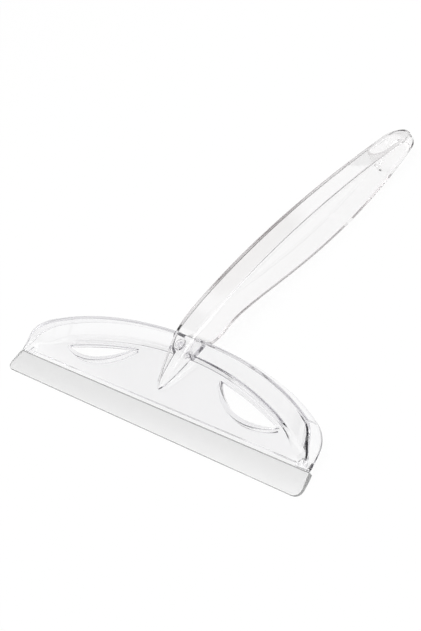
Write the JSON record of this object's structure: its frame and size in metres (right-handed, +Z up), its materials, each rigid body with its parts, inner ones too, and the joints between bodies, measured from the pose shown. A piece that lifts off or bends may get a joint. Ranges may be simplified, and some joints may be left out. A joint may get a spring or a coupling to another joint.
{
  "type": "countertop squeegee",
  "caption": "Clear plastic hand squeegee: a windowed head with a raised rim and a soft blade along its foot, held by an arched hollow handle with a hang slot near its tail.",
  "frame": {"origin": "on the counter, under the middle of the box around the tool as it lies face up", "axes": "+X along the blade, +Y from the wiping edge towards the handle's tail, +Z up from the counter; the tool is mirrored left to right about X = 0"},
  "size_m": [0.1982, 0.2118, 0.0214],
  "materials": {
    "clear_head": "polished, clear",
    "clear_handle": "polished, clear",
    "clear_stud": "polished, clear",
    "soft_blade": "matt, translucent"
  },
  "bodies": {
    "root": {"head_shell": "clear_head", "handle": "clear_handle", "handle_back": "clear_handle", "handle_stud": "clear_stud", "blade": "soft_blade"}
  },
  "joints": []
}
